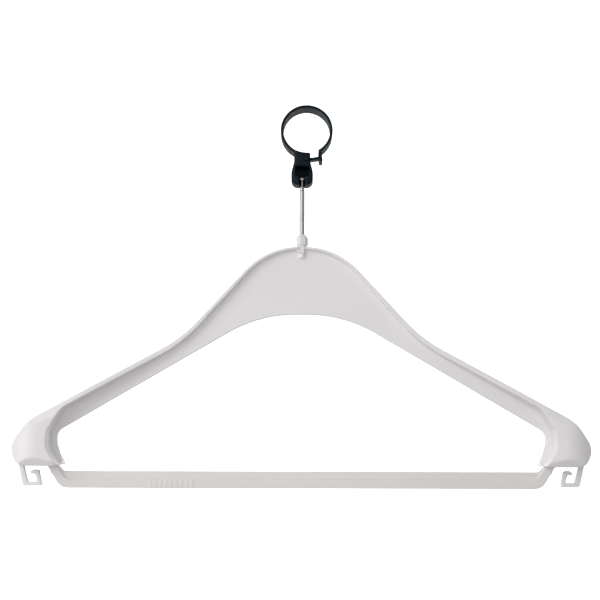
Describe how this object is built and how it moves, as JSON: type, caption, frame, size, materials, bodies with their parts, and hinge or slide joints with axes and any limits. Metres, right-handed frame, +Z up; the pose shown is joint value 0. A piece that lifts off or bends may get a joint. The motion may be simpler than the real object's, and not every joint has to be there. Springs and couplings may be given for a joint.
{
  "type": "clothes hanger",
  "caption": "Captive clothes hanger: wide-shouldered moulded frame with trouser bar and skirt hooks, hung by a headed pin from a closed rail ring.",
  "frame": {"origin": "centre of the rail ring's opening, half way along its width", "axes": "+X along the hanger from shoulder to shoulder, +Y along the rail away from the viewer of the front face, +Z up"},
  "size_m": [0.4424, 0.0406, 0.3048],
  "materials": {
    "clip": "satin black",
    "pin": "bright nickel plate",
    "collar": "gloss white",
    "frame": "gloss white",
    "bar": "gloss white"
  },
  "bodies": {
    "clip": {"clip_body": "clip"},
    "ring_half": {"ring_band": "clip"},
    "tab": {"release_tab": "clip"},
    "pin": {"hanger_pin": "pin"},
    "hanger": {"neck_collar": "collar", "hanger_frame": "frame", "trouser_bar": "bar"}
  },
  "joints": [
    {"name": "ring_open", "type": "hinge", "parent": "clip", "child": "ring_half", "pos_m": [0, 0, 0.0199], "axis": [0, -1, 0], "range_deg": [-7.2, 50], "stiffness_Nm_per_rad": 0.25},
    {"name": "tab_release", "type": "hinge", "parent": "clip", "child": "tab", "pos_m": [-0.0004, -0.00705, -0.02084], "axis": [-1, 0, 0], "range_deg": [0, 8], "stiffness_Nm_per_rad": 0.01},
    {"name": "hanger_lift", "type": "slide", "parent": "clip", "child": "pin", "axis": [0, 0, 1], "range_m": [0, 0.0084]},
    {"name": "hanger_swivel", "type": "hinge", "parent": "pin", "child": "hanger", "pos_m": [-0.0036, 0, -0.09], "axis": [0, 0, 1], "continuous": true}
  ]
}
